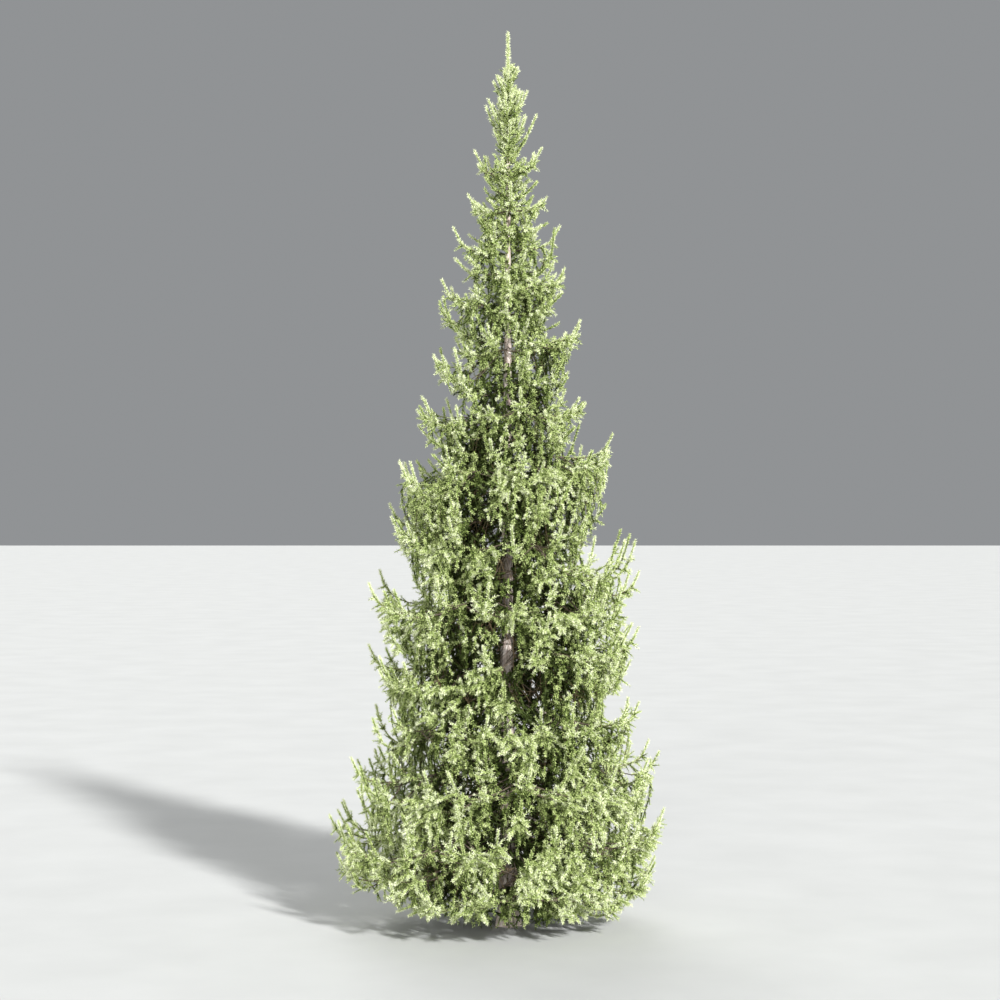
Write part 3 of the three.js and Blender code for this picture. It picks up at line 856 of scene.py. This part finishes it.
def tip_shoots(growth, limb, key):
    """The limb's last shoots: a long one that turns up, and stars of small ones behind it."""
    start = limb.path(limb.brush)
    end = tip_end(limb, start, key)
    needled_path(growth, limb.path, TIP_NEEDLES_FROM, limb.brush, lambda t: "light", key + 3)
    bow = UP * (0.1 * (end - start).length)

    def path(v):
        return start.lerp(end, v) - bow * (v * (1 - v) * 2)

    growth.add_twig([start, path(0.92)], TWIG_RADIUS)
    colour = "pale" if limb.index < 3 or chance(key, 73) < 0.4 else "light"
    needled_path(growth, path, 0, 1, lambda t: colour, key + 5, 2)
    for star, behind in enumerate(STARS_BEHIND):
        v = 1 - behind / limb.length
        if v < 0.4:
            break
        star_shoots(growth, limb, v, key + star)


def star_shoots(growth, limb, v, key):
    """Small shoots all round a limb."""
    foot = limb.path(v)
    ahead = direction_at(limb.path, v)
    level = left_of(level_run(limb.path, v))
    for i, around in enumerate(STAR_TURNS):
        turn = radians(around + 25 * either(key, i, 15))
        side = level * cos(turn) + UP * sin(turn)
        way = (ahead * 0.55 + side * (0.6 + 0.2 * chance(key, i, 25))).normalized()
        size = SHOOT_LENGTH * (0.8 + 0.55 * chance(key, i, 16))
        if not in_outline(foot + way * size, limb.line):
            size *= 0.6
        colour = COLOURS[int(2.2 * chance(key, i, 26))]
        growth.add_shoot(foot, way, size, colour, key + 19 * i)


def trunk_twigs(growth, low, high):
    """Short twigs on the trunk between two heights, dark and hanging except near the top."""
    for i in range(TRUNK_TWIGS):
        height = lerp(TRUNK_TWIGS_FROM, TRUNK_TOP, (i + 0.5) / TRUNK_TWIGS)
        if not low <= height < high:
            continue
        azimuth = i * GOLDEN_TURN + 0.6 * either(i, 31)
        away = Vector((cos(azimuth), sin(azimuth), 0))
        root = trunk_centre(height) + away * trunk_radius(height) * 0.9
        rise = UP * lerp(-0.9, 0.9, smooth(height, *YOUNG_HEIGHTS))
        way = (away + rise + left_of(away) * 0.5 * either(i, 32)).normalized()
        length = lerp(0.75, 0.22, height / TRUNK_TOP) * (0.7 + 0.6 * chance(i, 33))
        start_way = (away + UP * 0.2).normalized()
        # Darkest low on the trunk: partly older needles, partly painted shade.
        tone = lerp(DARKEST, 1.2, smooth(height, 6.5, 9.5))
        branchlet(growth, root, way, start_way, length, tone, 7000 + 11 * i)


# ---- The leader ----


def leader_point(v):
    return trunk_centre(lerp(TRUNK_TOP, TREE_HEIGHT, v))


def fresh(t):
    return "pale" if t > 0.5 else "light"


def away_at(i):
    """A level direction, a golden turn on from the last."""
    return Vector((cos(i * GOLDEN_TURN), sin(i * GOLDEN_TURN), 0))


def grow_leader(growth):
    """The needled top of the trunk, with steep shoots round it."""
    thick = (SHOOT_LENGTH, SHOOT_RADIUS * 1.35)
    slim = (SHOOT_LENGTH, SHOOT_RADIUS * 1.05)
    needled_path(growth, leader_point, 0, 0.88, fresh, 9001, 4, thick)
    needled_path(growth, leader_point, 0.86, 1, fresh, 9050, 4, slim)
    for i in range(NECK_SHOOTS):
        root = leader_point(0.5 * i / NECK_SHOOTS - 0.03)
        way = away_at(i) + UP * (0.2 + 0.7 * chance(i, 83))
        size = NECK_LENGTH * (0.7 + 0.6 * chance(i, 81))
        growth.add_shoot(root, way, size, COLOURS[int(2.4 * chance(i, 82))], 9700 + i)
    count = 3 * LEADER_COUNT
    for i in range(count):
        share = i / (count - 1)
        length = lerp(LEADER_LONGEST, LEADER_SHORTEST, share) * (1, 0.55, 0.75)[i % 3]
        leader_shoot(growth, leader_point(LEADER_REACH_UP * share), away_at(i), length, 9100 + 40 * i)


def leader_shoot(growth, root, away, length, key):
    """A steep shoot of the leader, which turns up."""
    def path(v):
        return root + away * (LEADER_OUT * length * v) + UP * (LEADER_UP * length * (v + v * v) / 2)

    growth.add_twig([path(v) for v in (0, 0.4, 0.9)], TWIG_RADIUS)
    needled_path(growth, path, 0.05, 1, fresh, key, 2)
    leader_sides(growth, path, length, key)


def leader_sides(growth, path, length, key):
    count = int(length / LEADER_SIDE_GAP)
    for k in range(count):
        v = 0.12 + 0.6 * (k + 0.5) / count
        ahead = direction_at(path, v)
        side = left_of(level_run(path, v)) * (1 if k % 2 else -1)
        way = ahead * 0.75 + side * (0.5 + 0.3 * chance(key, k, 17)) + UP * (0.3 * either(key, k, 27))
        colour = COLOURS[int(3.4 * chance(key, k, 18))]
        growth.add_shoot(path(v), way, SHOOT_LENGTH * (1.05 - 0.4 * v), colour, key + k)


# ---- Meshes ----


def core_pattern():
    """A shoot's core. A point is its share along the shoot, and its way off from there in shoot
    radii: two across and one ahead."""
    angles = [2 * pi * i / CORE_SIDES for i in range(CORE_SIDES)]
    points = [(0, CORE_SHARE * cos(angle), CORE_SHARE * sin(angle), 0) for angle in angles]
    points.append((1, 0, 0, CORE_POINT))
    return np.array(points), np.array([(0, 2, 1), (0, 1, 3), (1, 2, 3), (2, 0, 3)])


def needles_pattern(variant, colour):
    """A shoot's needles, on a spiral round its core."""
    count, width = NEEDLES[colour]
    points = []
    faces = []
    for k in range(count):
        share = 0.02 + 0.98 * (k + 0.5 + 0.4 * either(variant, k, 1)) / count
        angle = k * GOLDEN_TURN + variant + 0.5 * either(variant, k, 2)
        tilt = lerp(1.25, 0.6, share**3) + 0.12 * either(variant, k, 3)
        length = (1.02 - 0.15 * share) * (0.9 + 0.2 * chance(variant, k, 4))
        needle(points, faces, share, angle, tilt, length, width)
    return np.array(points), np.array(faces)


def needle(points, faces, share, angle, tilt, length, width):
    """A slim triangle that stands out of the core."""
    radial = np.array((cos(angle), sin(angle), 0))
    across = np.array((-sin(angle), cos(angle), 0))
    ahead = np.array((0, 0, 1))
    base = radial * NEEDLE_FOOT
    broad = (across * cos(angle * 3) + ahead * sin(angle * 3)) * width / 2
    way = radial * sin(tilt) + ahead * cos(tilt)
    first = len(points)
    for spot in (base + broad, base - broad, base + way * length):
        points.append((share, *spot))
    faces.append((first, first + 1, first + 2))


def shoots_mesh(name, cores, needles, colour):
    """Cores of some shoots, darkened as painted shade, and needles of others joined in one mesh."""
    core_patterns = [core_pattern()] * VARIANTS
    needle_patterns = [needles_pattern(variant, colour) for variant in range(VARIANTS)]
    vertices = []
    faces = []
    first = 0
    for shoots, patterns in ((cores, core_patterns), (needles, needle_patterns)):
        keys = np.array([shoot.key for shoot in shoots], dtype=int)
        data = np.array([shoot.numbers for shoot in shoots]).reshape(-1, 8)
        for variant, (pattern, pattern_faces) in enumerate(patterns):
            chosen = data[keys % VARIANTS == variant]
            turns = keys[keys % VARIANTS == variant] * SHOOT_TURN % (2 * pi)
            vertices.append(placed(pattern, chosen, turns).reshape(-1, 3))
            starts = first + np.arange(len(chosen)) * len(pattern)
            faces.append((pattern_faces[None] + starts[:, None, None]).reshape(-1, 3))
            first += len(chosen) * len(pattern)
    return mesh_object(name, np.concatenate(vertices), np.concatenate(faces))


def placed(pattern, shoots, turns):
    """The pattern's points on every shoot."""
    root, way, length, radius = shoots[:, :3], shoots[:, 3:6], shoots[:, 6:7], shoots[:, 7:8]
    across, over = frames_across(way, turns)
    along = length * pattern[:, 0] + radius * pattern[:, 3]
    return (
        root[:, None]
        + way[:, None] * along[:, :, None]
        + across[:, None] * (radius * pattern[:, 1])[:, :, None]
        + over[:, None] * (radius * pattern[:, 2])[:, :, None]
    )


def frames_across(way, turns):
    """Two unit vectors square to each way, turned about it."""
    helper = np.where(np.abs(way[:, 2:3]) < 0.9, [[0.0, 0.0, 1.0]], [[1.0, 0.0, 0.0]])
    side = np.cross(way, helper)
    side /= np.linalg.norm(side, axis=1, keepdims=True)
    other = np.cross(way, side)
    c, s = np.cos(turns)[:, None], np.sin(turns)[:, None]
    return side * c + other * s, other * c - side * s


def linked(name, data):
    """A new object in the scene."""
    made = bpy.data.objects.new(name, data)
    bpy.context.scene.collection.objects.link(made)
    return made


def mesh_object(name, vertices, faces):
    """An object from arrays of points and of triangles or quads."""
    mesh = bpy.data.meshes.new(name)
    sides = faces.shape[1]
    mesh.vertices.add(len(vertices))
    mesh.vertices.foreach_set("co", vertices.astype(np.float32).ravel())
    mesh.loops.add(faces.size)
    mesh.loops.foreach_set("vertex_index", faces.astype(np.int32).ravel())
    mesh.polygons.add(len(faces))
    mesh.polygons.foreach_set("loop_start", np.arange(0, faces.size, sides, dtype=np.int32))
    mesh.update(calc_edges=True)
    return linked(name, mesh)


def ring_faces(first, rings, sides):
    """Quads between rings of points, numbered from first."""
    faces = []
    for start in range(first, first + (rings - 1) * sides, sides):
        for k in range(sides):
            a, b = start + k, start + (k + 1) % sides
            faces.append((a, b, b + sides, a + sides))
    return faces


def tubes_mesh(name, tubes, sides):
    """Tapering tubes joined in one mesh. Each is its points and the radius at each point."""
    vertices = []
    faces = []
    for points, radii in tubes:
        first = len(vertices)
        for i, (point, radius) in enumerate(zip(points, radii)):
            ahead = (points[min(i + 1, len(points) - 1)] - points[max(i - 1, 0)]).normalized()
            helper = UP if abs(ahead.z) < 0.9 else Vector((1, 0, 0))
            across = ahead.cross(helper).normalized()
            over = ahead.cross(across)
            for k in range(sides):
                angle = 2 * pi * k / sides
                side = across * (radius * cos(angle))
                vertices.append(point + side + over * (radius * sin(angle)))
        faces += ring_faces(first, len(points), sides)
    return mesh_object(name, np.array(vertices), np.array(faces))


# ---- Bark ----

TRUNK_SIDES = 54
TRUNK_RINGS = 230
BARK_RELIEF = 0.05  # share of the trunk's radius
BARK_SCALES = 34  # for each metre
BARK_STRETCH = 0.45  # so that scales are longer than wide
BARK_EDGE = 2.2  # how sharply a scale falls off to its edge


def trunk_mesh():
    """The trunk with its scaly bark, flared into the ground."""
    vertices = []
    for r in range(TRUNK_RINGS + 1):
        height = TRUNK_TOP * r / TRUNK_RINGS
        centre = trunk_centre(height)
        for i in range(TRUNK_SIDES):
            angle = 2 * pi * i / TRUNK_SIDES
            lobe = 1 - FLARE_LOBE_SHARE + FLARE_LOBE_SHARE * cos(FLARE_LOBES * angle + FLARE_TURN)
            radius = trunk_radius(height) + flare_at(height) * lobe
            radius *= 1 + BARK_RELIEF * bark_relief(angle, height, radius)
            vertices.append(centre + Vector((radius * cos(angle), radius * sin(angle), 0)))
    faces = ring_faces(0, TRUNK_RINGS + 1, TRUNK_SIDES)
    return mesh_object("trunk_bark", np.array(vertices), np.array(faces))


def bark_relief(angle, height, radius):
    """Thin scales, from about -1 to 1."""
    level = (cos(angle) * radius, sin(angle) * radius)
    spot = Vector((*level, height * BARK_STRETCH)) * BARK_SCALES
    distances, _ = noise.voronoi(spot)
    scale = min((distances[1] - distances[0]) * BARK_EDGE, 1)
    return scale - 0.55 + 0.5 * noise.noise(spot * 0.35)


# ---- Materials ----


COLOUR_SPAN = (0.3, 0.7)  # the part of the noise that the colours are spread over
NOISE_DETAIL = 4
SPECULAR = 0.3
BUMP_DEPTH = 0.004


def material(name, colours, scale, roughness, bump=0, stretch=(1, 1, 1)):
    """A principled material whose base colour wanders between some colours over a noise."""
    made = bpy.data.materials.new(name)
    made.use_nodes = True
    nodes, links = made.node_tree.nodes, made.node_tree.links
    shader = nodes["Principled BSDF"]
    kinds = ("TexCoord", "Mapping", "TexNoise", "ValToRGB")
    place, mapping, texture, ramp = (nodes.new(f"ShaderNode{kind}") for kind in kinds)
    mapping.inputs["Scale"].default_value = stretch
    texture.inputs["Scale"].default_value = scale
    texture.inputs["Detail"].default_value = NOISE_DETAIL
    stops = ramp.color_ramp.elements
    for stop, spot, colour in zip(stops, COLOUR_SPAN, (colours[0], colours[-1])):
        stop.position = spot
        stop.color = (*colour, 1)
    for i, colour in enumerate(colours[1:-1]):
        stops.new(lerp(*COLOUR_SPAN, (i + 1) / (len(colours) - 1))).color = (*colour, 1)
    links.new(place.outputs["Object"], mapping.inputs["Vector"])
    links.new(mapping.outputs["Vector"], texture.inputs["Vector"])
    links.new(texture.outputs["Fac"], ramp.inputs["Fac"])
    links.new(ramp.outputs["Color"], shader.inputs["Base Color"])
    shader.inputs["Roughness"].default_value = roughness
    shader.inputs["Specular IOR Level"].default_value = SPECULAR
    if bump:
        relief = nodes.new("ShaderNodeBump")
        relief.inputs["Strength"].default_value = bump
        relief.inputs["Distance"].default_value = BUMP_DEPTH
        links.new(texture.outputs["Fac"], relief.inputs["Height"])
        links.new(relief.outputs["Normal"], shader.inputs["Normal"])
    return made


def rgb(text):
    """An sRGB colour such as "93a06d" as linear red, green and blue."""
    parts = [int(text[i:i + 2], 16) / 255 for i in (0, 2, 4)]
    return tuple(((c + 0.055) / 1.055) ** 2.4 if c > 0.04 else c / 12.92 for c in parts)


# The two darkest colours, used inside the crown, stand partly for older needles and partly for painted
# shade.
NEEDLE_COLOURS = {
    "pale": ("d7dfae", "ecf0d0"),
    "light": ("b8c880", "d3dd9f"),
    "mid": ("96a85c", "b6c67c"),
    "deep": ("627534", "83954c"),
    "old": ("2f3a15", "4a5824"),
}


def needle_material(colour):
    shades = [rgb(shade) for shade in NEEDLE_COLOURS[colour]]
    return material(f"needles {colour}", shades, scale=14, roughness=0.62)


# ---- Stage ----

FLOOR_SIZE = 500
SKY_COLOUR = (0.94, 0.97, 1.0, 1)
SKY_STRENGTH = 0.3
# The lamps: the way that each shines from, its strength, and how wide it is in degrees.
SUNS = {
    "key": ((0.45, -0.8, 0.5), 4.9, 5),
    "fill": ((-0.2, -1, 0.15), 1.3, 25),
    "back": ((-0.2, 0.9, 0.7), 1.3, 40),
}


def make_stage():
    bpy.ops.mesh.primitive_plane_add(size=FLOOR_SIZE)
    floor = bpy.context.object
    floor.name = "floor"
    shades = [rgb("c9cac8"), rgb("cfd0ce")]
    floor.data.materials.append(material("floor", shades, scale=0.6, roughness=0.9))
    world = bpy.data.worlds.new("studio")
    world.use_nodes = True
    sky = world.node_tree.nodes["Background"]
    sky.inputs["Color"].default_value = SKY_COLOUR
    sky.inputs["Strength"].default_value = SKY_STRENGTH
    bpy.context.scene.world = world
    for name, facts in SUNS.items():
        add_sun(name, *facts)
    bpy.context.scene.view_settings.view_transform = "Standard"


def add_sun(name, from_way, strength, angle):
    lamp = bpy.data.lights.new(name, "SUN")
    lamp.energy = strength
    lamp.angle = radians(angle)
    holder = linked(name, lamp)
    holder.rotation_mode = "QUATERNION"
    holder.rotation_quaternion = Vector(from_way).to_track_quat("Z", "Y")


def make_camera():
    data = bpy.data.cameras.new("camera")
    data.lens = CAMERA_LENS
    data.sensor_width = SENSOR_WIDTH
    data.clip_end = FURTHEST_SEEN
    camera = linked("camera", data)
    camera.location = CAMERA_PLACE
    camera.rotation_euler = (radians(90), 0, 0)
    bpy.context.scene.camera = camera


# ---- The tree ----

BANDS = [(0, 1), (2, 3), (4, 5), (6, 8), (9, 13)]  # whorls, from 0, whose growth shares pieces
BAND_HEIGHTS = [(0, 1.65), (1.65, 3.1), (3.1, 4.75), (4.75, 7.2), (7.2, TRUNK_TOP)]
TWIG_SIDES = 3
TWIG_TAPER = 0.2  # share of its radius that a twig loses from point to point
LIMB_SIDES = 5
LIMB_STEPS = 6
BOUGH_SIDES = 10
BOUGH_STEPS = 8


def finish_piece(piece, look, nodes):
    piece.data.materials.append(look)
    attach(piece, "root")
    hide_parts(*nodes)


def limb_tube(limb):
    shares = evenly(LIMB_STEPS, limb.brush)
    return list(map(limb.path, shares)), list(map(limb.radius_at, shares))


def leader_tube():
    shares = evenly(BOUGH_STEPS)
    radii = [trunk_radius(TRUNK_TOP) * (1 - 0.8 * v) for v in shares]
    return [leader_point(v * 0.97) for v in shares], radii


def twig_tube(points, radius):
    return points, [radius * (1 - TWIG_TAPER * i) for i in range(len(points))]


def grow_band(members, heights):
    """The growth of some masses and of the trunk between two heights, and their limbs' tubes."""
    growth = Growth()
    tubes = []
    for line in members:
        for limb in limbs_of(line):
            grow_limb(growth, limb)
            tubes.append(limb_tube(limb))
    if heights[1] == TRUNK_TOP:
        grow_leader(growth)
        tubes.append(leader_tube())
    trunk_twigs(growth, *heights)
    return growth, tubes


def make_crown(lines):
    looks = {colour: needle_material(colour) for colour in COLOURS}
    twig_look = material("twig bark", [rgb("51442f"), rgb("75644a")], 60, 0.85, bump=0.3)
    # Limb bark darker and greyer than the trunk's: partly its tone, partly painted shade that sinks
    # the limbs into the crown.
    limb_look = material("limb bark", [rgb("4f453b"), rgb("75685a")], 40, 0.9, bump=0.5)
    for number, (low, high) in enumerate(BANDS):
        members = [line for line in lines if low <= line.level <= high]
        nodes = [f"foliage_{line.name}" for line in members]
        if number == len(BANDS) - 1:
            nodes.append("foliage_leader")
        growth, tubes = grow_band(members, BAND_HEIGHTS[number])
        for colour in COLOURS:
            # Each mesh holds its colour's needles and, as painted shade, the cores of paler shoots.
            cores = [shoot for shoot in growth.shoots if CORE_SHADE_COLOURS[shoot.colour] == colour]
            needles = [shoot for shoot in growth.shoots if shoot.colour == colour]
            piece = shoots_mesh(f"needles_{colour}_{number + 1}", cores, needles, colour)
            finish_piece(piece, looks[colour], nodes)
        twigs = [twig_tube(*twig) for twig in growth.twigs]
        finish_piece(tubes_mesh(f"twigs_{number + 1}", twigs, TWIG_SIDES), twig_look, nodes)
        finish_piece(tubes_mesh(f"limbs_{number + 1}", tubes, LIMB_SIDES), limb_look, nodes)


def make_wood(lines):
    # Pale pinkish bark: partly the bark's tone, partly painted light that lifts the trunk where the
    # crown shades it.
    shades = [rgb("a8948a"), rgb("d6c6bb"), rgb("f0e6de")]
    look = material("bark", shades, 26, 0.92, bump=0.8, stretch=(1, 1, 0.4))
    finish_piece(trunk_mesh(), look, ["trunk"])
    bare = [line for line in lines if line.is_bare]
    shares = evenly(BOUGH_STEPS, BARE_SHARE)
    tubes = [(list(map(line.point, shares)), list(map(line.radius, shares))) for line in bare]
    piece = tubes_mesh("bough_bark", tubes, BOUGH_SIDES)
    finish_piece(piece, look, [f"bough_{line.name}" for line in bare])


make_stage()
make_camera()
all_boughs = all_lines()
make_wood(all_boughs)
make_crown(all_boughs)
